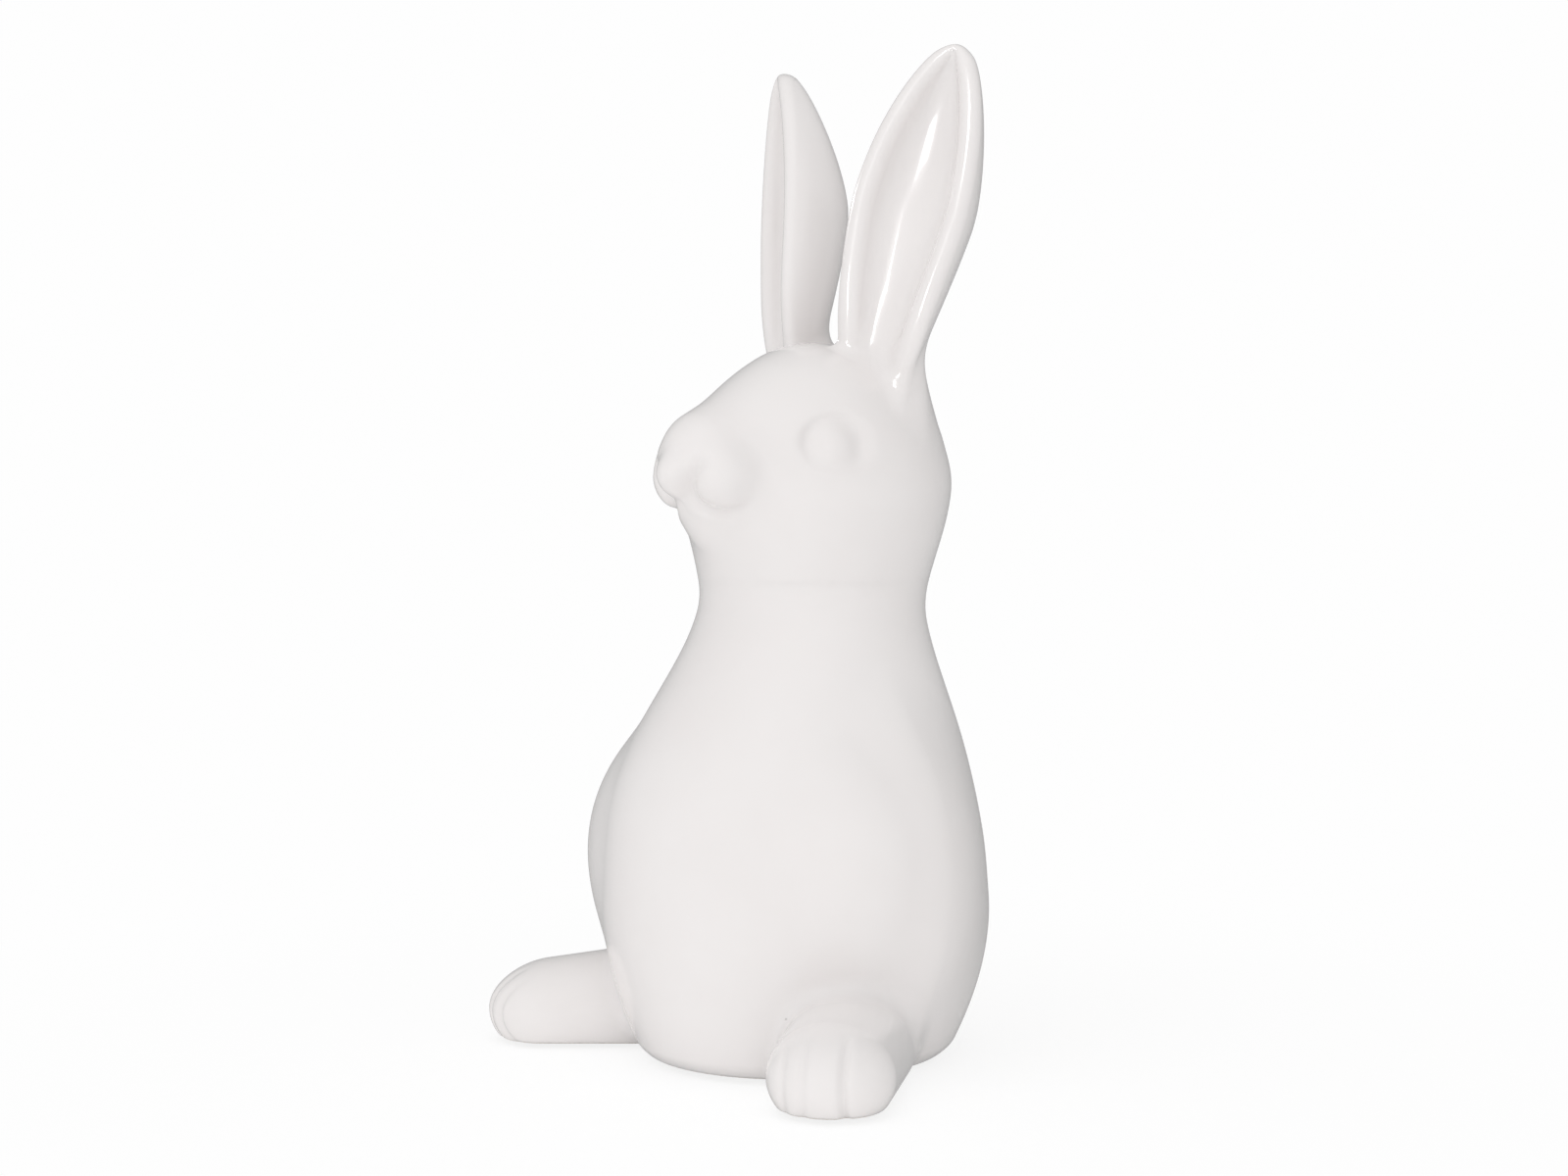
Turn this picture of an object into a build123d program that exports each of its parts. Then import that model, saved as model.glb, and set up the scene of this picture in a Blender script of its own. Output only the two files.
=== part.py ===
from build123d import *
import os
from math import asin, atan2, cos, degrees, exp, hypot, pi, radians, sin, sqrt

os.makedirs("parts", exist_ok=True)

# A glazed ceramic rabbit sitting upright on its haunches, 250 mm tall with its ears.
# Lengths are millimetres. The rabbit faces -Y, its left side is +X and +Z is up.
# Places below count from the middle of the belly and the underside of the ceramic.
# At the end the felt dots lift it, and the origin comes to the middle of its footprint.

# Casting
wall = 4.0
base_thickness = 5.0
foot_ring_width = 9.0
foot_ring_depth = 1.2
drain_hole_radius = 6.0

# Body, a pear that leans back at the neck
base_radius = 37.1
belly_radius = 47.6
neck_radius = 27.8
belly_height = 39.0
neck_height = 118.0
setback_height = 58.0
neck_setback = 6.8
body_top = 138.0
body_top_round = 6.0
neck_blend = 15.0
edge_round_height = 4.0
edge_round_inset = 2.2
belly_power = 1.75
shoulder_power = 1.4

# Rump, the extra fullness low at the back
rump_fullness = 5.0
rump_height = 18.0
rump_spread = 34.0

# Haunches
haunch_centre = (26.8, -8.0, 49.0)
haunch_radii = (28.6, 28.6, 35.0)
haunch_blend = 8.0

# Head
skull_centre = (0.0, 10.5, 145.0)
skull_radii = (28.5, 33.5, 31.0)
muzzle_root = (0.0, 5.0, 154.0)
muzzle_root_radius = 22.5
muzzle_tip = (0.0, -25.0, 147.5)
muzzle_tip_radius = 12.5
jaw_root = (0.0, 2.0, 138.0)
jaw_root_radius = 20.0
jaw_tip = (0.0, -24.0, 136.0)
jaw_tip_radius = 8.0
head_blend = 8.0
ear_base_centre = (10.0, 20.0, 160.0)
ear_base_radius = 13.5
ear_base_blend = 6.0

# Face
nose_centre = (0.0, -36.0, 144.5)
nose_radii = (5.2, 5.0, 5.4)
cheek_centre = (6.0, -29.8, 143.0)
cheek_radii = (6.6, 7.0, 6.8)
socket_centre = (25.5, -8.5, 150.0)
socket_radii = (4.5, 9.5, 7.0)
eye_centre = (19.3, -8.5, 149.0)
eye_radii = (6.0, 7.0, 6.2)

# Ears, each a curled leaf about an axis from root to tip
ear_root = (17.2, 10.2, 166.0)
ear_tip = (34.0, 24.8, 247.0)
ear_turn = 25.5
ear_bow = 2.1
ear_thickness = 5.6
ear_half_width = 13.0
ear_curl = 98.0
ear_root_curl = 88.0
ear_tip_curl = 76.0
ear_buried = 8.0
ear_tip_bend = 4.5
ear_tip_width = 0.3
ear_wide_share = 0.533
ear_curl_share = 0.58
ear_root_narrow_share = 0.52
ear_root_power = 1.36
ear_tip_power = 0.5
ear_root_curl_power = 1.5
ear_tip_curl_power = 1.3
ear_station_shares = (0.0, 0.12, 0.24, 0.37, 0.5, 0.61, 0.71, 0.8, 0.88, 0.94, 0.975, 1.0)
ear_cap_shares = (0.5, 0.85)

# Feet
heel_centre = (34.0, -9.0)
toe_centre = (56.0, -35.1)
foot_half_width = 15.0
foot_wide_height = 7.5
foot_rise = 12.5
heel_rise = 17.5
foot_height_shares = (0.0, 0.12, 0.24, 0.36, 0.54, 0.7, 0.83, 0.93, 0.985)
toe_groove_depth = 1.1
toe_groove_width = 2.6
toe_groove_spacing = 7.0
toe_groove_count = 3
toe_groove_low_angle = -32.0
toe_groove_high_angle = 50.0

# Tail
tail_stand = 0.4
tail_height = 22.0
tail_radii = (11.0, 9.0, 10.0)

# Felt dots under the toes and the rump
felt_thickness = 1.0
felt_radius = 4.0
felt_rump_angle = 35.0

# Sampling of the hand-modelled forms
skin_sides = 54
hollow_sides = 18
body_bands = 20
head_bands = 20
hollow_bands = 6
head_flat_share = 0.965
hollow_flat_share = 0.85
front_crowding = 0.35
face_sides = 18
face_bands = 9
ear_back_sides = 6
ear_front_sides = 4
ear_rim_sides = 4
foot_end_sides = 12
tail_sides = 20
tail_bands = 9
search_steps = 26


def blend(a, b, width):
    """Union of two signed distances, with a fillet of about the given width."""
    overlap = max(width - abs(a - b), 0.0) / width
    return min(a, b) - overlap * overlap * width / 4


def blend_cut(a, b, width):
    """Common part of two signed distances, with a rounded edge."""
    return -blend(-a, -b, width)


def ease(share):
    """Smooth step from nought to one."""
    share = min(max(share, 0.0), 1.0)
    return share * share * (3 - 2 * share)


def ball_distance(point, centre, radii):
    """Signed distance to an ellipsoid, close to true near its skin."""
    scaled = [(p - c) / r for p, c, r in zip(point, centre, radii)]
    near = sqrt(sum(s * s for s in scaled))
    slope = sqrt(sum((s / r) ** 2 for s, r in zip(scaled, radii)))
    return near * (near - 1) / slope if slope else -min(radii)


def taper_distance(point, start, end, start_radius, end_radius):
    """Signed distance to a tapering limb with round ends."""
    along = [e - s for s, e in zip(start, end)]
    length_squared = sum(a * a for a in along)
    share = sum((p - s) * a for p, s, a in zip(point, start, along)) / length_squared
    share = min(max(share, 0.0), 1.0)
    gaps = [p - s - share * a for p, s, a in zip(point, start, along)]
    return sqrt(sum(g * g for g in gaps)) - start_radius - (end_radius - start_radius) * share


def pear_radius(height):
    """Radius of the body without its haunches."""
    if height > belly_height:
        rise = min((height - belly_height) / (neck_height - belly_height), 1.0)
        fullness = cos(pi / 2 * rise**shoulder_power) ** 2
        return neck_radius + (belly_radius - neck_radius) * fullness
    drop = (belly_height - height) / belly_height
    return belly_radius - (belly_radius - base_radius) * drop**belly_power


def setback(height):
    """How far behind the origin the middle of the body lies."""
    return neck_setback * ease((height - setback_height) / (neck_height - setback_height))


def body_distance(point):
    """Signed distance to the body: the pear, its rump and the two haunches."""
    x, y, height = point
    radius = pear_radius(height)
    back = y - setback(height)
    rump = rump_fullness * exp(-(((height - rump_height) / rump_spread) ** 2))
    depth = radius + rump if back > 0 else radius
    distance = (sqrt((x / radius) ** 2 + (back / depth) ** 2) - 1) * radius
    distance = blend_cut(distance, height - body_top, body_top_round)
    haunch = ball_distance((abs(x), y, height), haunch_centre, haunch_radii)
    distance = blend(distance, haunch, haunch_blend)
    edge = max(1 - height / edge_round_height, 0.0)
    return distance + edge_round_inset * edge * edge


def head_distance(point):
    """Signed distance to the head: skull, muzzle, jaw and the mounds behind the ears."""
    skull = ball_distance(point, skull_centre, skull_radii)
    muzzle = taper_distance(point, muzzle_root, muzzle_tip, muzzle_root_radius, muzzle_tip_radius)
    jaw = taper_distance(point, jaw_root, jaw_tip, jaw_root_radius, jaw_tip_radius)
    half = (abs(point[0]), *point[1:])
    ear_base = ball_distance(half, ear_base_centre, [ear_base_radius] * 3)
    return blend(blend(blend(skull, muzzle, head_blend), jaw, head_blend), ear_base, ear_base_blend)


def skin_distance(point):
    return blend(body_distance(point), head_distance(point), neck_blend)


def find_skin(point_at, far, inset):
    """Walk out along a line to where the skin, or its inset copy, is met."""
    near = 0.0
    for _ in range(search_steps):
        middle = (near + far) / 2
        if skin_distance(point_at(middle)) < -inset:
            near = middle
        else:
            far = middle
    return near


def skin_point(angle, height, inset):
    """Point of the skin at an angle from straight ahead, turned towards the left side."""
    middle = setback(height)

    def point_at(reach):
        return (reach * sin(angle), middle - reach * cos(angle), height)

    return point_at(find_skin(point_at, 2 * belly_radius, inset))


def skin_ring(height, sides, inset=0.0):
    """Level outline of the skin, or of its inset copy, with more points towards the face."""
    turns = [2 * pi * index / sides for index in range(sides)]
    return [skin_point(turn - front_crowding * sin(turn), height, inset) for turn in turns]


def flat_face(points):
    return Face(Wire.make_polygon(points, close=True))


def banded(rings):
    """A solid whose skin runs from ring to ring of points in flat facets."""
    faces = [flat_face(rings[0]), flat_face(rings[-1])]
    for lower, upper in zip(rings, rings[1:]):
        for index, corner in enumerate(lower):
            faces.append(flat_face([lower[index - 1], corner, upper[index]]))
            faces.append(flat_face([lower[index - 1], upper[index], upper[index - 1]]))
    return Solid(Shell(faces))


def ball(centre, radii, sides, bands):
    """A round form through level rings, with a small flat at its foot and its top."""
    rings = []
    for lean in steps_between(-pi / 2, pi / 2, bands + 1)[1:-1]:
        reach = cos(lean)
        ring = []
        for turn in steps_between(0.0, 2 * pi, sides)[1:]:
            offsets = (reach * cos(turn), reach * sin(turn), sin(lean))
            ring.append(tuple(c + r * o for c, r, o in zip(centre, radii, offsets)))
        rings.append(ring)
    return banded(rings)


def steps_between(low, high, count):
    return [low + (high - low) * index / count for index in range(count + 1)]


def domed_steps(low, high, count, end_share):
    """Heights that crowd towards the top, as the rings of a dome do."""
    return [low + (high - low) * sin(pi / 2 * end_share * index / count) for index in range(count + 1)]


crown_rise = find_skin(
    lambda rise: (0.0, skull_centre[1], neck_height + rise), 2 * skull_radii[2], 0.0
)
crown_height = neck_height + crown_rise

# Outer forms of the two main castings, still solid
edge_heights = [0.0, edge_round_height / 4, edge_round_height]
body_heights = edge_heights + steps_between(edge_round_height, neck_height, body_bands)[1:]
body_form = banded([skin_ring(height, skin_sides) for height in body_heights])
head_heights = domed_steps(neck_height, crown_height, head_bands, head_flat_share)
head_form = banded([skin_ring(height, skin_sides) for height in head_heights])

# Hollows that the drained slip leaves one wall inside
body_hollow_heights = steps_between(base_thickness, neck_height, hollow_bands)
body_hollow = banded([skin_ring(height, hollow_sides, wall) for height in body_hollow_heights])
head_hollow_heights = domed_steps(neck_height, crown_height - wall, hollow_bands, hollow_flat_share)
head_hollow = banded([skin_ring(height, hollow_sides, wall) for height in head_hollow_heights])


def torso_shell():
    recess_radius = base_radius - edge_round_inset - foot_ring_width
    recess = extrude(Circle(recess_radius), amount=foot_ring_depth)
    drain = extrude(Circle(drain_hole_radius), amount=base_thickness)
    return body_form - body_hollow - recess - drain


def face_ball(side, centre, radii):
    return ball((side * centre[0], *centre[1:]), radii, face_sides, face_bands)


def head_shell():
    """The head casting, with its eyes, whisker cheeks and nose."""
    shell = head_form
    for side in (1, -1):
        shell -= face_ball(side, socket_centre, socket_radii)
        shell += face_ball(side, eye_centre, eye_radii)
        shell += face_ball(side, cheek_centre, cheek_radii)
    shell += face_ball(1, nose_centre, nose_radii)
    return shell - head_hollow


def ear_width(share):
    """Half width of the middle of the ear's wall, along the ear."""
    if share > ear_wide_share:
        left = (1 - share) / (1 - ear_wide_share)
        return ear_half_width * sin(pi / 2 * left) ** ear_tip_power
    drop = (ear_wide_share - share) / ear_wide_share
    return ear_half_width * (1 - ear_root_narrow_share * drop**ear_root_power)


def ear_curl_at(share):
    """Half angle through which the ear's wall is curled, along the ear."""
    if share > ear_curl_share:
        rise = (share - ear_curl_share) / (1 - ear_curl_share)
        return ear_curl + (ear_tip_curl - ear_curl) * rise**ear_tip_curl_power
    drop = (ear_curl_share - share) / ear_curl_share
    return ear_curl + (ear_root_curl - ear_curl) * drop**ear_root_curl_power


def ear_outline(width, curl, thickness):
    """A curled band with round rims, which opens towards its second coordinate."""
    bend = max(width / sin(radians(curl)), ear_tip_bend)
    half_angle = radians(curl) if bend > ear_tip_bend else asin(width / bend)
    middle = bend * cos(half_angle)
    outer = bend + thickness / 2
    inner = bend - thickness / 2
    half = []
    for angle in steps_between(0.0, half_angle, ear_back_sides):
        half.append((outer * sin(angle), middle - outer * cos(angle)))
    for angle in steps_between(half_angle, half_angle + pi, ear_rim_sides)[1:-1]:
        half.append((width + thickness / 2 * sin(angle), -thickness / 2 * cos(angle)))
    for angle in steps_between(half_angle, 0.0, ear_front_sides):
        half.append((inner * sin(angle), middle - inner * cos(angle)))
    return half + [(-across, out) for across, out in half[-2:0:-1]]


def ear():
    """The curled ear, closed at its tip by ever thinner rings."""
    root = Vector(*ear_root)
    axis = (Vector(*ear_tip) - root).normalized()
    length = (Vector(*ear_tip) - root).length
    opening = Vector(sin(radians(ear_turn)), -cos(radians(ear_turn)), 0)
    across = opening.cross(axis).normalized()
    stations = [(-ear_buried, ear_thickness)]
    stations += [(share * length, ear_thickness) for share in ear_station_shares]
    for share in ear_cap_shares:
        stations.append((length + share * ear_thickness / 2, ear_thickness * sqrt(1 - share * share)))
    rings = []
    for place, thickness in stations:
        share = min(max(place / length, 0), 1)
        inward = across * (-ear_bow * 4 * share * (1 - share))
        plane = Plane(origin=root + axis * place + inward, x_dir=across, z_dir=axis)
        outline = ear_outline(max(ear_width(share), ear_tip_width), ear_curl_at(share), thickness)
        rings.append([plane.from_local_coords((*point, 0)) for point in outline])
    return banded(rings)


def foot_ring(height, along, length):
    """Outline of the foot: two half rounds joined by straight sides, which rises to the heel."""
    lift = (height - foot_wide_height) / foot_rise
    half_width = foot_half_width * sqrt(1 - lift**2)
    ring = []
    for place, turned in ((0.0, pi / 2), (length, -pi / 2)):
        for angle in steps_between(turned, turned + pi, foot_end_sides):
            forward = place + half_width * cos(angle)
            side = half_width * sin(angle)
            rise = foot_rise + (heel_rise - foot_rise) * (1 - forward / length)
            level = max(lift, 0.0) * (rise - foot_rise)
            x = heel_centre[0] + forward * cos(along) - side * sin(along)
            y = heel_centre[1] + forward * sin(along) + side * cos(along)
            ring.append((x, y, height + level))
    return ring


def toe_groove(offset):
    """A sharp bar round the front of the toes that cuts one groove between them."""
    reach = sqrt(foot_half_width**2 - offset**2)
    profile = Polyline(
        (reach - toe_groove_depth, offset),
        (reach + toe_groove_depth, offset - toe_groove_width),
        (reach + toe_groove_depth, offset + toe_groove_width),
        close=True,
    )
    sweep = toe_groove_high_angle - toe_groove_low_angle
    ring = revolve(make_face(profile), axis=Axis.Y, revolution_arc=sweep)
    return Rot(0, -toe_groove_low_angle - sweep, 0) * ring


def foot():
    """A flat-bottomed foot with round ends and grooves between its toes."""
    run = (toe_centre[0] - heel_centre[0], toe_centre[1] - heel_centre[1])
    along = atan2(run[1], run[0])
    length = hypot(*run)
    top = foot_wide_height + foot_rise
    form = banded([foot_ring(share * top, along, length) for share in foot_height_shares])
    for index in range(toe_groove_count):
        offset = toe_groove_spacing * (index - (toe_groove_count - 1) / 2)
        form -= Pos(*toe_centre, foot_wide_height) * Rot(0, 0, degrees(along)) * toe_groove(offset)
    return form


def tail():
    centre = (0.0, belly_radius + tail_stand, tail_height)
    return ball(centre, tail_radii, tail_sides, tail_bands) - body_form


def felt_dot(x, y):
    return Pos(x, y, 0) * extrude(Circle(felt_radius), amount=-felt_thickness)


nodes = {"torso_shell": torso_shell(), "head_shell": head_shell(), "tail": tail()}
rump_reach = base_radius - edge_round_inset - foot_ring_width / 2
rump_x = rump_reach * sin(radians(felt_rump_angle))
rump_y = rump_reach * cos(radians(felt_rump_angle))
pairs = {
    "ear": (ear(), head_form),
    "foot": (foot(), body_form),
    "toe_felt": (felt_dot(*toe_centre), None),
    "rump_felt": (felt_dot(rump_x, rump_y), None),
}
for name, (shape, seat) in pairs.items():
    nodes["left_" + name] = shape - seat if seat else shape
    opposite = mirror(shape, about=Plane.YZ)
    nodes["right_" + name] = opposite - seat if seat else opposite

toe_front = toe_centre[1] - foot_half_width
tail_back = belly_radius + tail_stand + tail_radii[1]
for name, shape in nodes.items():
    export_step(Pos(0, -(toe_front + tail_back) / 2, felt_thickness) * shape, f"parts/{name}.step")
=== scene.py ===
import bpy
import numpy as np
from math import cos, pi, radians, sin, sqrt
from mathutils import Matrix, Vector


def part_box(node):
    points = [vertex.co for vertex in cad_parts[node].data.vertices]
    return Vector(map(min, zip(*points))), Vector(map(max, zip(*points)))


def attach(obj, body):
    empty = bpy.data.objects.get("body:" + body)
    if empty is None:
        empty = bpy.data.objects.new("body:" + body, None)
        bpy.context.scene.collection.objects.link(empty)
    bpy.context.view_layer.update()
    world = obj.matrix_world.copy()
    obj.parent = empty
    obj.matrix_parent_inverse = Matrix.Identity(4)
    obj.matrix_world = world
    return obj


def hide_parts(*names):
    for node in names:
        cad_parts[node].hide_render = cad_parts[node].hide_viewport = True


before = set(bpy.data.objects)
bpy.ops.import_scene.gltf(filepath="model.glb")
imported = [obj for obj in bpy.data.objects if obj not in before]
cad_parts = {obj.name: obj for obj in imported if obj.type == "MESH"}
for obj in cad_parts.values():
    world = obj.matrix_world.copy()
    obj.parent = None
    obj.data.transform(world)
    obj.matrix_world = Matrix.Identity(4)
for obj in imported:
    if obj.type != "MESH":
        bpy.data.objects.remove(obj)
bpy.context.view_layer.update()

# Lengths are metres. Places count from the middle of the belly and the underside of the
# ceramic: the felt dots lift it, and the frame's origin is the middle of the footprint.
felt_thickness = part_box("left_toe_felt")[1][2]

# Body
base_radius = 0.0371
belly_radius = 0.0476
neck_radius = 0.0278
belly_height = 0.039
neck_height = 0.118
setback_height = 0.058
neck_setback = 0.0068
body_top = 0.138
body_top_round = 0.006
neck_blend = 0.015
edge_round_height = 0.004
edge_round_inset = 0.0022
belly_power = 1.75
shoulder_power = 1.4
rump_fullness = 0.005
rump_height = 0.018
rump_spread = 0.034
haunch_centre = (0.0268, -0.008, 0.049)
haunch_radii = (0.0286, 0.0286, 0.035)
haunch_blend = 0.007
haunch_back_blend = 0.011
haunch_back_start = -0.014
haunch_back_spread = 0.018
foot_ring_width = 0.009
foot_ring_depth = 0.0012
drain_hole_radius = 0.006
hollow_centre = (0.0, 0.0, 0.027)
hollow_radius = 0.022
edge_softness = 0.001
wiped_height = 0.0002
wiped_fade = 0.0003

# Head. A crease's gap, width and depth are metres. Its middle, reach and fade are degrees
# about the centre of the form it runs round, from straight back through straight up.
skull_centre = (0.0, 0.0105, 0.145)
skull_radii = (0.0285, 0.0335, 0.031)
muzzle_root = (0.0, 0.005, 0.154)
muzzle_root_radius = 0.0213
muzzle_tip = (0.0, -0.0255, 0.1483)
muzzle_tip_radius = 0.0127
jaw_root = (0.0, 0.002, 0.138)
jaw_root_radius = 0.0178
jaw_tip = (0.0, -0.0225, 0.1365)
jaw_tip_radius = 0.0085
head_blend = 0.008
ear_base_centre = (0.0105, 0.0195, 0.162)
ear_base_radius = 0.0122
ear_base_blend = 0.006
nose_centre = (0.0, -0.036, 0.1445)
nose_radii = (0.005, 0.005, 0.0051)
nose_blend = 0.003
cheek_centre = (0.0068, -0.0283, 0.1438)
cheek_radii = (0.0078, 0.0074, 0.0076)
cheek_blend = 0.0045
cheek_way = (0.81, -0.58, 0.1)
mouth_crease = dict(gap=0.0, width=0.0013, depth=0.0016, middle=220.0, reach=115.0, fade=70.0)
eye_centre = (0.0244, -0.0066, 0.1518)
eye_radii = (0.0052, 0.0066, 0.007)
eye_way = (0.89, -0.42, 0.18)
eye_sink = 0.0048
eye_blend = 0.002
socket_centre = (0.025, -0.0052, 0.1521)
socket_radii = (0.0042, 0.0114, 0.0088)
socket_lift = 0.0019
socket_softness = 0.002
lid_crease = dict(gap=-0.0006, width=0.0011, depth=0.0006, middle=130.0, reach=95.0, fade=60.0)

# Ears. Turn and curls are degrees, and shares run from the root to the tip.
ear_root = np.array([0.0172, 0.0102, 0.166])
ear_tip = np.array([0.0326, 0.0251, 0.247])
ear_turn = 25.5
ear_bow = 0.0014
ear_thickness = 0.0056
ear_half_width = 0.0123
ear_flatness = 0.064
ear_curl = 98.0
ear_root_curl = 88.0
ear_tip_curl = 76.0
ear_buried = 0.016
ear_wide_share = 0.533
ear_curl_share = 0.58
ear_root_narrow_share = 0.52
ear_root_overrun = 1.2
ear_root_power = 1.36
ear_tip_power = 0.53
ear_root_curl_power = 1.5
ear_tip_curl_power = 1.3
ear_blend = 0.003
ear_back_blend = 0.009
ear_back_start = 0.012
ear_back_spread = 0.012
ear_tip_bend = 0.0025
ear_steepest = 3.0
ear_fill_depth = 0.0052
ear_fill_root_depth = 0.0008
ear_fill_start = -0.05
ear_fill_spread = 0.36
ear_fill_blend = 0.0095
ear_trim = 0.0028
ear_trim_share = 0.42
ear_trim_softness = 0.003

# Feet
heel_centre = np.array([0.034, -0.009])
toe_centre = np.array([0.056, -0.0351])
foot_half_width = 0.015
foot_wide_height = 0.0075
foot_rise = 0.0125
heel_rise = 0.0175
foot_blend = 0.0055
toe_groove_offsets = (-0.0048, 0.0046, 0.0095)
toe_groove_depths = (0.0011, 0.0006, 0.0005)
toe_groove_width = 0.0011
toe_groove_reach = 0.003
toe_groove_fade = 0.008

# Tail
tail_stand = 0.0004
tail_height = 0.022
tail_radii = (0.011, 0.009, 0.01)
tail_centre = (0.0, belly_radius + tail_stand, tail_height)
tail_blend = 0.003

clay_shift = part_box("tail")[1][1] - tail_centre[1] - tail_radii[1]
clay_place = np.array([0.0, clay_shift, felt_thickness])

# Felt
felt_sides = 48
felt_edge = 0.0003
felt_sway = 0.01
felt_sway_waves = (5, 9)
felt_sway_start = 1.0
felt_ring_shares = (0.35, 0.7, 0.9)
felt_upper_turns = (0.4, 1.0, pi / 2)
felt_lower_turns = (0.0, 0.6, 1.2, pi / 2)

# Meshing. Each point settles on the skin in a few Newton rounds.
torso_step = 0.0007
head_step = 0.0005
limb_step = 0.0006
seam_steps = 1.6
box_margin = 0.006
slope_step = 0.00005
settling_rounds = 2
least_steepness = 0.25
tiny = 1e-6

# Glaze, and the clay of the foot ring where it is wiped off. Colours are linear, and the
# scales of the clouds and ripples count per metre.
glaze_dark = (0.845, 0.812, 0.803, 1)
glaze_light = (0.868, 0.84, 0.832, 1)
glaze_dark_share = 0.3
glaze_light_share = 0.7
glaze_ior = 1.5
glaze_smoothest = 0.16
glaze_roughest = 0.26
coat_weight = 0.6
coat_roughness = 0.03
cloud_scale = 28.0
cloud_detail = 3.0
ripple_scale = 260.0
ripple_strength = 0.04
ripple_height = 0.0004
bare_clay = (0.74, 0.68, 0.6, 1)
bare_clay_roughness = 0.85

# Felt's colours and nap
felt_dark = (0.6, 0.58, 0.55, 1)
felt_light = (0.8, 0.79, 0.77, 1)
felt_roughness = 0.95
felt_sheen = 0.3
fibre_scale = 1800.0
fibre_detail = 4.0
fibre_strength = 0.5
fibre_height = 0.0003


def blend(a, b, width):
    """Union of two signed distances, with a fillet of about the given width."""
    shared = np.maximum(width - np.abs(a - b), 0) / width
    return np.minimum(a, b) - shared * shared * width / 4


def blend_cut(a, b, width):
    """Common part of two signed distances, with a rounded edge."""
    return -blend(-a, -b, width)


def ease(share):
    """Smooth rise from 0 to 1."""
    share = np.clip(share, 0, 1)
    return share * share * (3 - 2 * share)


def ball(p, centre, radii):
    """Signed distance to an ellipsoid, close to true near its skin."""
    scaled = [(a - c) / r for a, c, r in zip(p, centre, radii)]
    near = np.sqrt(sum(s * s for s in scaled))
    slope = np.sqrt(sum((s / r) ** 2 for s, r in zip(scaled, radii)))
    return near * (near - 1) / np.maximum(slope, tiny)


def taper(p, start, end, start_radius, end_radius):
    """Signed distance to a tapering limb, the hull of a ball at either end."""
    way = np.array(end) - np.array(start)
    length = np.linalg.norm(way)
    lean = (start_radius - end_radius) / length
    along = sum((a - s) * d for a, s, d in zip(p, start, way / length))
    gap = sum((a - s) ** 2 for a, s in zip(p, start)) - along**2
    across = np.sqrt(np.maximum(gap, 0))
    shifted = along * sqrt(1 - lean**2) - across * lean
    cone = across * sqrt(1 - lean**2) + along * lean - start_radius
    root = np.hypot(across, along) - start_radius
    tip = np.hypot(across, along - length) - end_radius
    reach = length * sqrt(1 - lean**2)
    return np.where(shifted < 0, root, np.where(shifted > reach, tip, cone))


def sided(p):
    """The same point on the left half, for what both halves share."""
    return np.abs(p[0]), p[1], p[2]


def facing(p, centre, way):
    """Offsets from a centre: out along the way it faces, backwards and up."""
    out = np.array(way) / np.linalg.norm(way)
    back = np.cross((0.0, 0.0, 1.0), out)
    back /= np.linalg.norm(back)
    offsets = [a - c for a, c in zip(p, centre)]
    return [sum(o * d for o, d in zip(offsets, axis)) for axis in (out, back, np.cross(out, back))]


def faced_ball(p, centre, way, lift, radii):
    """Signed distance to an ellipsoid that faces some way, moved out along it."""
    return ball(facing(p, centre, way), (lift, 0.0, 0.0), radii)


def crease(p, centre, way, apart, gap, width, depth, middle, reach, fade):
    """Depth of a soft groove where two forms meet, strongest at one angle about a centre."""
    _, back, rise = facing(p, centre, way)
    turned = np.abs((np.degrees(np.arctan2(rise, back)) - middle + 180) % 360 - 180)
    return depth * np.exp(-(((apart - gap) / width) ** 2)) * ease((reach - turned) / fade)


def pear_radius(z):
    """Radius of the body at a height."""
    rise = np.clip((z - belly_height) / (neck_height - belly_height), 0, 1)
    drop = np.clip((belly_height - z) / belly_height, 0, 1)
    fullness = np.cos(pi / 2 * rise**shoulder_power) ** 2
    upper = neck_radius + (belly_radius - neck_radius) * fullness
    return upper - (belly_radius - base_radius) * drop**belly_power


def body_field(p):
    """The pear, its rump and its haunches, drawn in at the foot."""
    x, y, z = p
    radius = pear_radius(z)
    back = y - neck_setback * ease((z - setback_height) / (neck_height - setback_height))
    rump = rump_fullness * np.exp(-(((z - rump_height) / rump_spread) ** 2))
    depth = np.where(back > 0, radius + rump, radius)
    field = (np.sqrt((x / radius) ** 2 + (back / depth) ** 2) - 1) * radius
    field = blend_cut(field, z - body_top, body_top_round)
    joint = haunch_blend + haunch_back_blend * ease((y - haunch_back_start) / haunch_back_spread)
    field = blend(field, ball(sided(p), haunch_centre, haunch_radii), joint)
    return field + edge_round_inset * np.clip(1 - z / edge_round_height, 0, 1) ** 2


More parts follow.
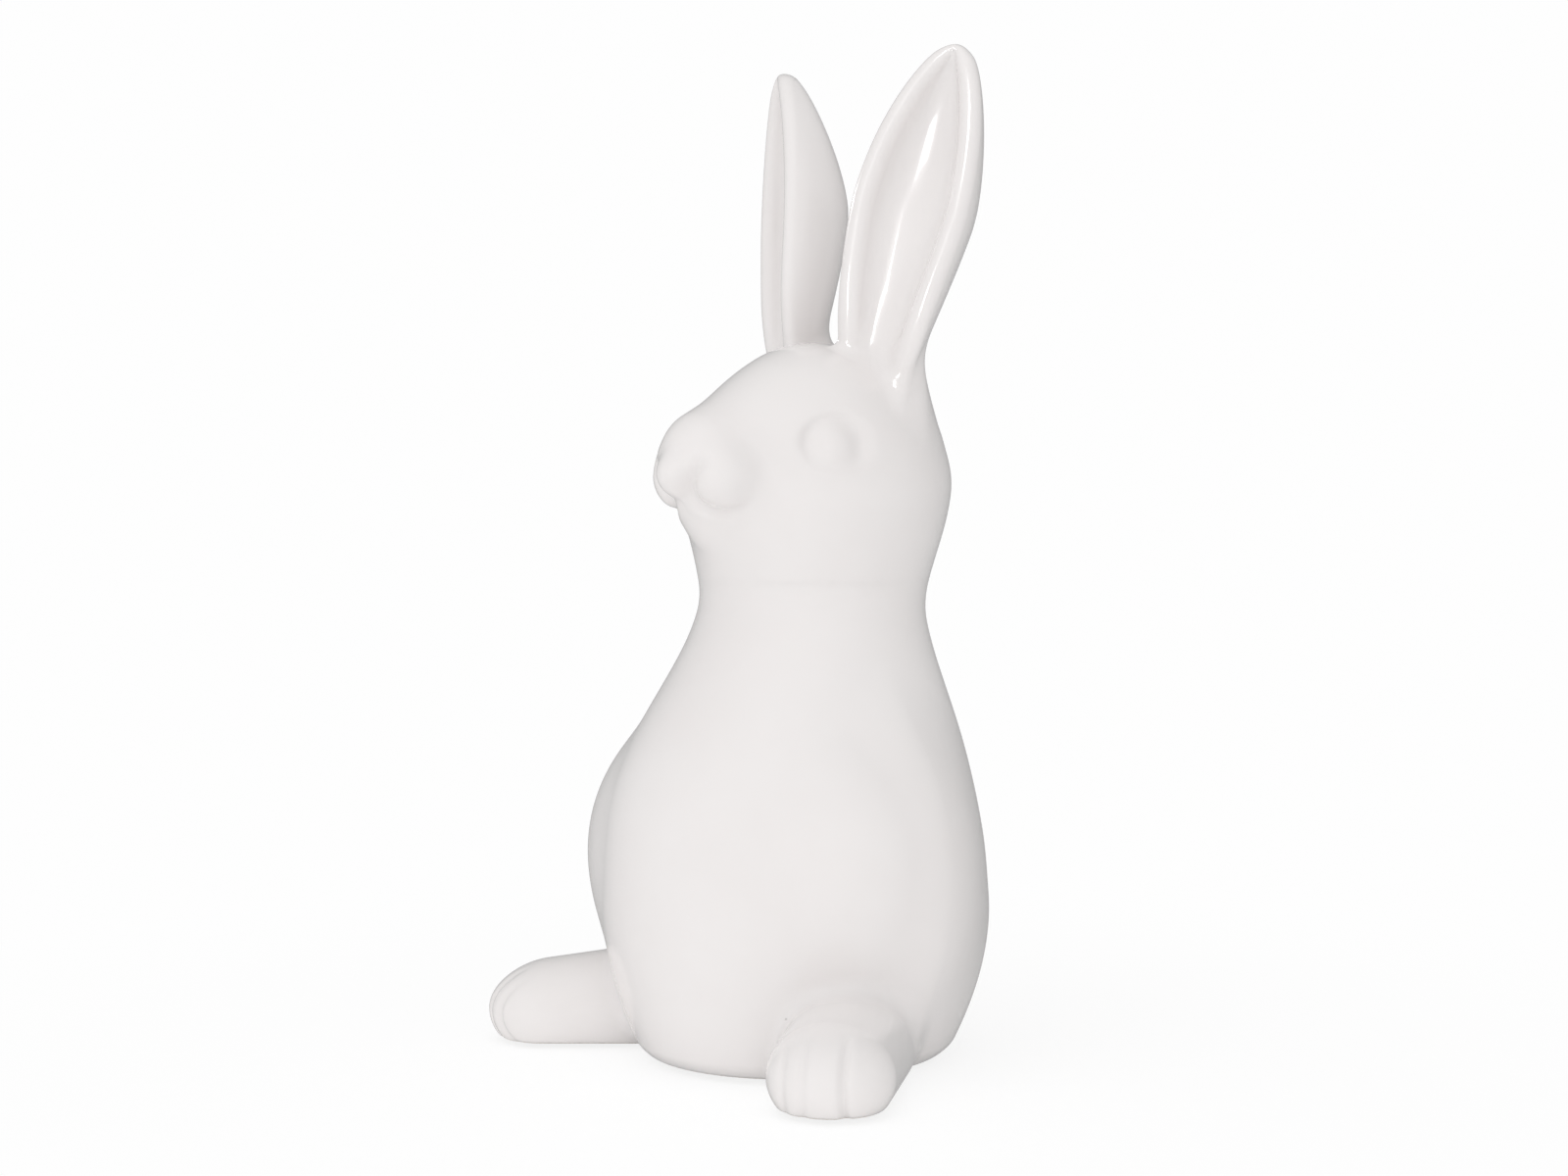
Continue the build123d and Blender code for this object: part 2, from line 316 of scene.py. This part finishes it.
def head_field(p):
    """Skull, muzzle and jaw, with the nose, whisker cheeks and eyes."""
    field = blend(
        ball(p, skull_centre, skull_radii),
        taper(p, muzzle_root, muzzle_tip, muzzle_root_radius, muzzle_tip_radius),
        head_blend,
    )
    field = blend(field, taper(p, jaw_root, jaw_tip, jaw_root_radius, jaw_tip_radius), head_blend)
    half = sided(p)
    field = blend(field, ball(half, ear_base_centre, [ear_base_radius] * 3), ear_base_blend)
    cheek = ball(half, cheek_centre, cheek_radii)
    mouth = crease(half, cheek_centre, cheek_way, field - cheek, **mouth_crease)
    field = blend(field, cheek, cheek_blend)
    field = blend(field, ball(p, nose_centre, nose_radii), nose_blend) + mouth
    socket = faced_ball(half, socket_centre, eye_way, socket_lift, socket_radii)
    lid = crease(half, socket_centre, eye_way, field + socket, **lid_crease)
    field = blend_cut(field, -socket, socket_softness) + lid
    return blend(field, faced_ball(half, eye_centre, eye_way, -eye_sink, eye_radii), eye_blend)


def ear_reach(along, length):
    """Half width of the ear over its rims, at places along it."""
    end = length + ear_thickness / 2
    wide = ear_wide_share * length
    left = np.clip((end - along) / (end - wide), 0, 1)
    drop = np.clip((wide - along) / wide, 0, ear_root_overrun)
    upper = (ear_half_width + ear_thickness / 2) * np.sin(pi / 2 * left) ** ear_tip_power
    lower = ear_half_width * (1 - ear_root_narrow_share * drop**ear_root_power)
    return np.where(along > wide, upper, lower + ear_thickness / 2)


def ear_curl_at(share):
    """Half angle of the curl, in radians."""
    rise = np.clip((share - ear_curl_share) / (1 - ear_curl_share), 0, 1)
    drop = np.clip((ear_curl_share - share) / ear_curl_share, 0, 1)
    upper = ear_curl + (ear_tip_curl - ear_curl) * rise**ear_tip_curl_power
    lower = ear_curl + (ear_root_curl - ear_curl) * drop**ear_root_curl_power
    return np.radians(np.where(share > ear_curl_share, upper, lower))


def bent(one, two):
    """Distance from an axis that measures a bend with flattened sides."""
    apart = np.maximum(np.hypot(one, two), tiny)
    return apart * (1 - ear_flatness * (2 * one * two / apart**2) ** 4)


def ear_field(p):
    """A curled band with round rims, filled a little inside and closed at its tip."""
    axis = ear_tip - ear_root
    length = np.linalg.norm(axis)
    axis = axis / length
    opening = np.array([sin(radians(ear_turn)), -cos(radians(ear_turn)), 0])
    opening -= axis * (opening @ axis)
    opening /= np.linalg.norm(opening)
    across = np.cross(axis, opening)
    local = [a - b for a, b in zip(sided(p), ear_root)]
    along, out, side = (sum(a * d for a, d in zip(local, way)) for way in (axis, opening, across))
    share = along / length
    side = side + ear_bow * 4 * share * (1 - share)
    reach = ear_reach(along, length)
    steep = np.abs(ear_reach(along + slope_step, length) - reach) / slope_step
    half_wall = ear_thickness / 2 * np.tanh(2 * reach / ear_thickness)
    width = reach - half_wall
    curl = ear_curl_at(share)
    bend = np.hypot(width / np.sin(curl), ear_tip_bend)
    half_angle = curl * width / np.sin(curl) / bend
    middle = bend * np.cos(half_angle)
    from_middle = bent(side, out - middle)
    rim = bend / bent(np.sin(half_angle), np.cos(half_angle))
    on_band = np.abs(np.arctan2(side, middle - out)) <= half_angle
    past_rim = np.abs(side) - rim * np.sin(half_angle)
    to_rim = np.hypot(past_rim, out - middle + rim * np.cos(half_angle))
    band = np.where(on_band, np.abs(from_middle - bend), to_rim) - half_wall
    spread = ease((share - ear_fill_start) / ear_fill_spread)
    level = ear_fill_root_depth + (ear_fill_depth - ear_fill_root_depth) * spread
    fill = np.maximum(from_middle - bend, out + level)
    filled = blend(band, fill, np.minimum(ear_fill_blend, level + half_wall))
    flat = np.where(from_middle < bend, filled, band)
    trimmed = ease(1 - share / ear_trim_share)
    front = half_wall + ear_trim_softness * (1 - trimmed) - ear_trim * trimmed
    flat = blend_cut(flat, out - front, ear_trim_softness)
    flat = flat / np.sqrt(1 + np.minimum(steep, ear_steepest) ** 2)
    past_tip = np.maximum(along - length - ear_thickness / 2, 0)
    closed = np.hypot(np.maximum(flat, 0), past_tip) + np.minimum(flat, 0)
    return np.maximum(closed, -along - ear_buried)


def foot_field(p):
    """A round-ended foot with grooves between its toes."""
    x, y, z = sided(p)
    way = toe_centre - heel_centre
    length = np.linalg.norm(way)
    way = way / length
    along = (x - heel_centre[0]) * way[0] + (y - heel_centre[1]) * way[1]
    side = (x - heel_centre[0]) * way[1] - (y - heel_centre[1]) * way[0]
    slant = foot_rise + (heel_rise - foot_rise) * (1 - along / length)
    slant = np.maximum(slant, foot_wide_height)
    slant = np.where(z > foot_wide_height, slant, foot_rise)
    rise = (z - foot_wide_height) * foot_half_width / slant
    reach = np.sqrt((along - np.clip(along, 0, length)) ** 2 + side**2 + rise**2)
    field = reach - foot_half_width
    shown = ease((along - length - toe_groove_reach) / toe_groove_fade)
    for offset, depth in zip(toe_groove_offsets, toe_groove_depths):
        field = field + depth * shown * np.exp(-(((side - offset) / toe_groove_width) ** 2))
    return field


def tail_field(p):
    return ball(p, tail_centre, tail_radii)


def skin_field(p):
    """The whole glazed skin, with its underside, foot ring, drain hole and hollow."""
    field = blend(body_field(p), head_field(p), neck_blend)
    joint = ear_blend + ear_back_blend * ease((p[1] - ear_back_start) / ear_back_spread)
    field = blend(field, ear_field(p), joint)
    field = blend(field, foot_field(p), foot_blend)
    field = blend(field, tail_field(p), tail_blend)
    field = blend_cut(field, -p[2], edge_softness)
    from_axis = np.hypot(p[0], p[1])
    recess_radius = base_radius - edge_round_inset - foot_ring_width
    recess = np.maximum(from_axis - recess_radius, p[2] - foot_ring_depth)
    drain = np.maximum(from_axis - drain_hole_radius, p[2] - hollow_centre[2])
    hollow = np.minimum(drain, ball(p, hollow_centre, [hollow_radius] * 3))
    return blend_cut(field, -np.minimum(recess, hollow), edge_softness)


def slope_at(field, points):
    """Gradient of a field, by small steps either way."""
    slope = np.empty_like(points)
    for axis in range(3):
        step = np.zeros(3)
        step[axis] = slope_step
        ahead = field(tuple((points + step).T))
        behind = field(tuple((points - step).T))
        slope[:, axis] = (ahead - behind) / (2 * slope_step)
    return slope


def net(field, low, high, step):
    """Points and four-sided faces of a field's surface inside a box."""
    counts = np.ceil((high - low) / step).astype(int) + 1
    axes = [low[i] + step * np.arange(counts[i]) for i in range(3)]
    values = field(tuple(np.meshgrid(*axes, indexing="ij")))
    inside = values < 0
    cells = tuple(counts - 1)
    crossings = np.zeros(cells)
    sums = np.zeros(cells + (3,))
    for axis in range(3):
        others = [i for i in range(3) if i != axis]
        for first in (0, 1):
            for second in (0, 1):
                start = np.zeros(3, int)
                start[others[0]] = first
                start[others[1]] = second
                end = start.copy()
                end[axis] = 1
                near = values[tuple(slice(s, s + c) for s, c in zip(start, cells))]
                far = values[tuple(slice(s, s + c) for s, c in zip(end, cells))]
                crossed = (near < 0) != (far < 0)
                share = np.where(crossed, near / np.where(crossed, near - far, 1), 0)
                crossings += crossed
                for i in range(3):
                    sums[..., i] += share if i == axis else crossed * start[i]
    active = crossings > 0
    index = np.full(cells, -1)
    index[active] = np.arange(active.sum())
    corners = np.argwhere(active)
    points = low + step * (corners + sums[active] / crossings[active][:, None])
    faces = []
    for axis in range(3):
        one, two = (axis + 1) % 3, (axis + 2) % 3
        near = [slice(1, -1)] * 3
        far = [slice(1, -1)] * 3
        near[axis] = slice(0, -1)
        far[axis] = slice(1, None)
        crossed = inside[tuple(near)] != inside[tuple(far)]
        places = np.argwhere(crossed)
        places[:, one] += 1
        places[:, two] += 1
        loop = []
        for back_one, back_two in ((1, 1), (0, 1), (0, 0), (1, 0)):
            cell = places.copy()
            cell[:, one] -= back_one
            cell[:, two] -= back_two
            loop.append(index[tuple(cell.T)])
        loop = np.stack(loop, 1)
        outward = inside[tuple(near)][crossed]
        faces.append(np.where(outward[:, None], loop, loop[:, ::-1]))
    return points, np.concatenate(faces)


def add_piece(name, node, points, faces, normals=None):
    """A smooth-shaded mesh that stands in for one node of the frame."""
    mesh = bpy.data.meshes.new(name)
    mesh.from_pydata(points, [], faces)
    mesh.polygons.foreach_set("use_smooth", np.ones(len(faces), bool))
    if normals is not None:
        mesh.normals_split_custom_set_from_vertices(normals)
    piece = bpy.data.objects.new(name, mesh)
    bpy.context.scene.collection.objects.link(piece)
    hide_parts(node)
    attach(piece, "root")
    return piece


def casting(node, owned, step):
    """The glazed skin of one casting: what lies deeper in its own share of the whole skin
    than in its neighbours', and a few cells more, so that no gap shows at a seam."""
    low, high = (np.array(corner) - clay_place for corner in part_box(node))
    step = step
    points, faces = net(skin_field, low - box_margin, high + box_margin, step)
    for _ in range(settling_rounds):
        slope = slope_at(skin_field, points)
        steepness = np.maximum((slope**2).sum(1), least_steepness)
        points = points - slope * (skin_field(tuple(points.T)) / steepness)[:, None]
    keep = owned(tuple(points.T)) > -seam_steps * step
    faces = faces[keep[faces].all(1)]
    used, faces = np.unique(faces, return_inverse=True)
    points = points[used]
    normals = slope_at(skin_field, points)
    normals /= np.linalg.norm(normals, axis=1)[:, None]
    points = (points + clay_place).tolist()
    faces = faces.reshape(-1, 4).tolist()
    return add_piece(node + "_glazed", node, points, faces, normals.tolist())


def torso_share(p):
    apart = np.minimum(foot_field(p), tail_field(p))
    return np.minimum(neck_height - p[2], apart - body_field(p))


def head_share(p):
    return np.minimum(p[2] - neck_height, ear_field(p) - head_field(p))


def ear_share(p):
    return np.minimum(head_field(p), body_field(p)) - ear_field(p)


def foot_share(p):
    return body_field(p) - foot_field(p)


def tail_share(p):
    return body_field(p) - tail_field(p)


def on_side(side, share):
    """One side's part of a share: the rabbit's left has side 1 and its right has -1."""
    return lambda p: np.where(side * p[0] > 0, share(p), -1)


castings = [
    casting("torso_shell", torso_share, torso_step),
    casting("head_shell", head_share, head_step),
    casting("left_ear", on_side(1, ear_share), limb_step),
    casting("right_ear", on_side(-1, ear_share), limb_step),
    casting("left_foot", on_side(1, foot_share), limb_step),
    casting("right_foot", on_side(-1, foot_share), limb_step),
    casting("tail", tail_share, limb_step),
]


def felt_disc(node):
    """A pressed felt dot with a soft and faintly uneven cut edge."""
    low, high = (np.array(corner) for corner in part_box(node))
    middle = (low + high) / 2
    radius = (high[0] - low[0]) / 2
    points = [(*middle[:2], high[2])]
    rings = [(share * radius, high[2]) for share in felt_ring_shares]
    rings += [
        (radius - felt_edge * (1 - sin(turn)), high[2] - felt_edge * (1 - cos(turn)))
        for turn in felt_upper_turns
    ]
    rings += [
        (radius - felt_edge * (1 - cos(turn)), low[2] + felt_edge * (1 - sin(turn)))
        for turn in felt_lower_turns
    ]
    rings += [(share * radius, low[2]) for share in reversed(felt_ring_shares)]
    slow, fast = felt_sway_waves
    for reach, height in rings:
        for index in range(felt_sides):
            turn = 2 * pi * index / felt_sides
            sway = 1 + felt_sway * sin(slow * turn + felt_sway_start) * sin(fast * turn)
            x = middle[0] + reach * sway * cos(turn)
            y = middle[1] + reach * sway * sin(turn)
            points.append((x, y, height))
    points.append((*middle[:2], low[2]))
    faces = []
    for index in range(felt_sides):
        following = (index + 1) % felt_sides
        faces.append((0, 1 + index, 1 + following))
        for ring in range(len(rings) - 1):
            start, below = 1 + ring * felt_sides, 1 + (ring + 1) * felt_sides
            faces.append((start + index, below + index, below + following, start + following))
        last = 1 + (len(rings) - 1) * felt_sides
        faces.append((len(points) - 1, last + following, last + index))
    return add_piece(node + "_pressed", node, points, faces)


felt_nodes = ("left_toe_felt", "right_toe_felt", "left_rump_felt", "right_rump_felt")
felt_discs = [felt_disc(node) for node in felt_nodes]


def fill_inputs(tree, node, inputs):
    """Each input is linked to a socket or set to a value. Where names repeat, as in a mix,
    inputs go by number."""
    for name, source in inputs.items():
        if isinstance(source, bpy.types.NodeSocket):
            tree.links.new(source, node.inputs[name])
        else:
            node.inputs[name].default_value = source


def add_node(tree, kind, inputs, operation=None):
    """A new shader node with its inputs filled."""
    node = tree.nodes.new("ShaderNode" + kind)
    if operation:
        node.operation = operation
    fill_inputs(tree, node, inputs)
    return node


def new_material(name):
    """A material, its node tree and its shader."""
    material = bpy.data.materials.new(name)
    material.use_nodes = True
    return material, material.node_tree, material.node_tree.nodes["Principled BSDF"]


def two_tones(tree, amount, dark, light, dark_share=0.0, light_share=1.0):
    """Colour socket of a ramp between two tones."""
    ramp = add_node(tree, "ValToRGB", {"Fac": amount})
    ends = ramp.color_ramp.elements
    ends[0].position, ends[1].position = dark_share, light_share
    ends[0].color, ends[1].color = dark, light
    return ramp.outputs["Color"]


def bumped(tree, height, strength, distance):
    """Normal socket of a fine relief."""
    inputs = {"Height": height, "Strength": strength, "Distance": distance}
    return add_node(tree, "Bump", inputs).outputs["Normal"]


def glaze_material():
    """Glossy white glaze over a slightly warm body, faintly uneven as a dipped glaze is, and
    wiped off the foot ring."""
    material, tree, shader = new_material("white_glaze")
    place = add_node(tree, "TexCoord", {}).outputs["Object"]
    height = add_node(tree, "SeparateXYZ", {"Vector": place}).outputs["Z"]
    wiped_to = felt_thickness + wiped_height
    rise = {"Value": height, "From Min": wiped_to, "From Max": wiped_to + wiped_fade}
    glazed = add_node(tree, "MapRange", rise).outputs["Result"]
    cloud_inputs = {"Vector": place, "Scale": cloud_scale, "Detail": cloud_detail}
    cloud = add_node(tree, "TexNoise", cloud_inputs).outputs["Fac"]
    tint = two_tones(tree, cloud, glaze_dark, glaze_light, glaze_dark_share, glaze_light_share)
    colour = add_node(tree, "Mix", {0: glazed, 6: bare_clay, 7: tint})
    colour.data_type = "RGBA"
    coat = add_node(tree, "Math", {0: glazed, 1: coat_weight}, "MULTIPLY")
    unevenness = {"Value": cloud, "To Min": glaze_smoothest, "To Max": glaze_roughest}
    rough = add_node(tree, "MapRange", unevenness).outputs["Result"]
    roughness = add_node(tree, "Mix", {0: glazed, 2: bare_clay_roughness, 3: rough})
    ripple = add_node(tree, "TexNoise", {"Vector": place, "Scale": ripple_scale}).outputs["Fac"]
    finish = {
        "IOR": glaze_ior,
        "Base Color": colour.outputs[2],
        "Roughness": roughness.outputs[0],
        "Coat Weight": coat.outputs["Value"],
        "Coat Roughness": coat_roughness,
        "Normal": bumped(tree, ripple, ripple_strength, ripple_height),
    }
    fill_inputs(tree, shader, finish)
    return material


def felt_material():
    """Off-white pressed felt with a fine nap."""
    material, tree, shader = new_material("white_felt")
    place = add_node(tree, "TexCoord", {}).outputs["Object"]
    fibre_inputs = {"Vector": place, "Scale": fibre_scale, "Detail": fibre_detail}
    fibre = add_node(tree, "TexNoise", fibre_inputs).outputs["Fac"]
    finish = {
        "Base Color": two_tones(tree, fibre, felt_dark, felt_light),
        "Roughness": felt_roughness,
        "Sheen Weight": felt_sheen,
        "Normal": bumped(tree, fibre, fibre_strength, fibre_height),
    }
    fill_inputs(tree, shader, finish)
    return material


glaze = glaze_material()
felt = felt_material()
for piece in castings:
    piece.data.materials.append(glaze)
for piece in felt_discs:
    piece.data.materials.append(felt)

# Camera, at the photograph's angle
view_azimuth = radians(50.1)
view_tilt = radians(2.1)
view_distance = 0.7
view_height = 0.142
view_side = -0.0018
focal_pixels = 2864
frame_pixels = 1600
sensor_width = 36.0
nearest_seen = 0.01

camera_data = bpy.data.cameras.new("camera")
camera_data.sensor_width = sensor_width
camera_data.lens = focal_pixels * sensor_width / frame_pixels
camera_data.clip_start = nearest_seen
camera = bpy.data.objects.new("camera", camera_data)
right = np.array([cos(view_azimuth), sin(view_azimuth), 0])
ahead = np.array([-sin(view_azimuth), cos(view_azimuth), 0])
aim = clay_place + np.array([0, 0, view_height])
camera.location = aim + view_side * right - view_distance * ahead
camera.rotation_euler = (pi / 2 - view_tilt, 0, view_azimuth)
bpy.context.scene.collection.objects.link(camera)
bpy.context.scene.camera = camera


def lamp(name, middle, azimuth, elevation, distance, size, watts, roll=0.0):
    """A rectangular lamp that faces a point, hidden from the camera. Its angles are degrees,
    and azimuth 0 is in front of the rabbit."""
    lamp_data = bpy.data.lights.new(name, "AREA")
    lamp_data.shape = "RECTANGLE"
    lamp_data.size, lamp_data.size_y = size
    lamp_data.energy = watts
    placed = bpy.data.objects.new(name, lamp_data)
    azimuth, elevation = radians(azimuth), radians(elevation)
    way = np.array([sin(azimuth) * cos(elevation), -cos(azimuth) * cos(elevation), sin(elevation)])
    placed.location = np.array(middle) + distance * way
    facing_middle = Matrix.Rotation(azimuth, 3, "Z") @ Matrix.Rotation(pi / 2 - elevation, 3, "X")
    placed.rotation_euler = (facing_middle @ Matrix.Rotation(radians(roll), 3, "Z")).to_euler()
    placed.visible_camera = False
    bpy.context.scene.collection.objects.link(placed)
    return placed


def reserved_for(name, piece):
    """A collection that light linking can name, with one object in it."""
    reserved = bpy.data.collections.new(name)
    reserved.objects.link(piece)
    return reserved


top_light = lamp(
    "top_light", (0, 0, 0.12), azimuth=30, elevation=68, distance=1.6, size=(1.4, 1.4), watts=3.5
)
top_light.visible_glossy = False

# Slim studio strips, which only the open face of the near ear mirrors
near_ear = reserved_for("near_ear", bpy.data.objects["left_ear_glazed"])
ear_middle = clay_place + (ear_root + ear_tip) / 2
upper_strip = dict(azimuth=14, elevation=2, distance=0.5, size=(0.045, 0.12), watts=0.35, roll=18)
lower_strip = dict(azimuth=31, elevation=19, distance=0.5, size=(0.045, 0.19), watts=0.5, roll=-70)
side_strip = dict(azimuth=-72, elevation=17, distance=1.5, size=(0.07, 0.5), watts=2.4, roll=90)
strips = [
    lamp("upper_strip", ear_middle, **upper_strip),
    lamp("lower_strip", ear_middle, **lower_strip),
    lamp("side_strip", ear_middle, **side_strip),
]
for strip in strips:
    strip.visible_diffuse = False
    strip.light_linking.receiver_collection = near_ear

# Floor and surroundings. The camera sees both plain white, apart from the shadow, and the
# glaze doesn't mirror the floor.
paper_white = 0.99
white = (1, 1, 1, 1)
floor_size = 0.8
floor_drop = 0.0001
floor_tone = (0.96, 0.96, 0.96, 1)
floor_roughness = 0.9
shadow_radius = 0.08
white_radius = 0.3
least_white = 0.85
bpy.ops.mesh.primitive_plane_add(size=floor_size, location=(0, 0, -floor_drop))
floor = bpy.context.object
floor.name = "floor"
floor_material, tree, table_top = new_material("pale_floor")
fill_inputs(tree, table_top, {"Base Color": floor_tone, "Roughness": floor_roughness})
ray = add_node(tree, "LightPath", {}).outputs
glow = add_node(tree, "Emission", {"Color": white, "Strength": paper_white})
place = add_node(tree, "TexCoord", {}).outputs["Object"]
apart = add_node(tree, "VectorMath", {0: place}, "LENGTH").outputs["Value"]
spread = {
    "Value": apart,
    "From Min": shadow_radius,
    "From Max": white_radius,
    "To Min": least_white,
}
whiteness = add_node(tree, "MapRange", spread)
whiteness.interpolation_type = "SMOOTHSTEP"
shown = {0: ray["Is Camera Ray"], 1: whiteness.outputs["Result"]}
share = add_node(tree, "Math", shown, "MULTIPLY")
surfaces = {
    "Fac": share.outputs["Value"],
    1: table_top.outputs["BSDF"],
    2: glow.outputs["Emission"],
}
seen = add_node(tree, "MixShader", surfaces)
see_through = add_node(tree, "BsdfTransparent", {})
surfaces = {
    "Fac": ray["Is Glossy Ray"],
    1: seen.outputs["Shader"],
    2: see_through.outputs["BSDF"],
}
mirrored = add_node(tree, "MixShader", surfaces)
fill_inputs(tree, tree.nodes["Material Output"], {"Surface": mirrored.outputs["Shader"]})
floor.data.materials.append(floor_material)

# The pale table is lit from above by a softbox of its own
table_light = lamp(
    "table_light", (0, 0, 0), azimuth=30, elevation=75, distance=1.6, size=(1.2, 1.2), watts=6.5
)
table_light.visible_glossy = False
table_light.light_linking.receiver_collection = reserved_for("table", floor)

# The room is brightest the way that bright_way points and dims smoothly to the other side
bright_way = (0.53, -0.848, 0.0)
dimmest = 0.37
brightest = 1.05
world = bpy.data.worlds.new("studio")
bpy.context.scene.world = world
world.use_nodes = True
tree = world.node_tree
place = add_node(tree, "TexCoord", {}).outputs["Generated"]
turned = add_node(tree, "VectorMath", {0: place, 1: bright_way}, "DOT_PRODUCT")
spread = {
    "Value": turned.outputs["Value"],
    "From Min": -1.0,
    "To Min": dimmest,
    "To Max": brightest,
}
level = add_node(tree, "MapRange", spread)
ambient = tree.nodes["Background"]
fill_inputs(tree, ambient, {"Color": white, "Strength": level.outputs["Result"]})
backdrop = add_node(tree, "Background", {"Color": white, "Strength": paper_white})
surfaces = {
    "Fac": add_node(tree, "LightPath", {}).outputs["Is Camera Ray"],
    1: ambient.outputs["Background"],
    2: backdrop.outputs["Background"],
}
seen = add_node(tree, "MixShader", surfaces)
fill_inputs(tree, tree.nodes["World Output"], {"Surface": seen.outputs["Shader"]})
bpy.context.scene.view_settings.view_transform = "Standard"
